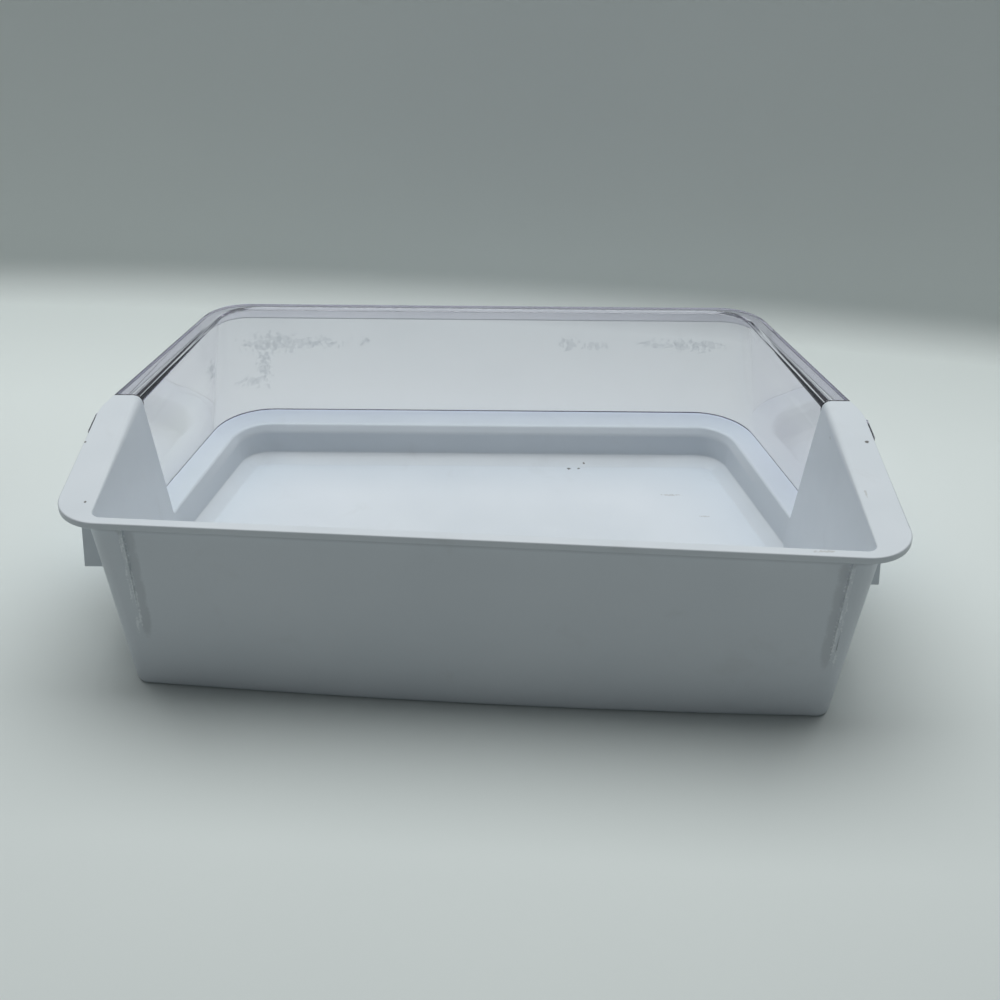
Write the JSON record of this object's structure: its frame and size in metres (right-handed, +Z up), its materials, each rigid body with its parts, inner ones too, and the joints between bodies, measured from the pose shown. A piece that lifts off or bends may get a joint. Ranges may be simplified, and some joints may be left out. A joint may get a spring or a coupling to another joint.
{
  "type": "refrigerator door bin",
  "caption": "Open-topped door shelf: a white moulded tub with rising side arms, pockets that hang on the door's lugs, and a clear front that turns back to the arms.",
  "frame": {"origin": "middle of the bin's width and depth, on the plane it stands on", "axes": "+X along the width, to the right as seen from the door; +Y away from the door, towards the clear front; +Z up"},
  "size_m": [0.372, 0.244, 0.095],
  "materials": {
    "white_plastic": "moulded, semi-gloss, faintly scuffed",
    "clear_plastic": "clear, polished, violet-grey at the edges"
  },
  "bodies": {
    "root": {"basket": "white_plastic", "window": "clear_plastic"}
  },
  "joints": []
}
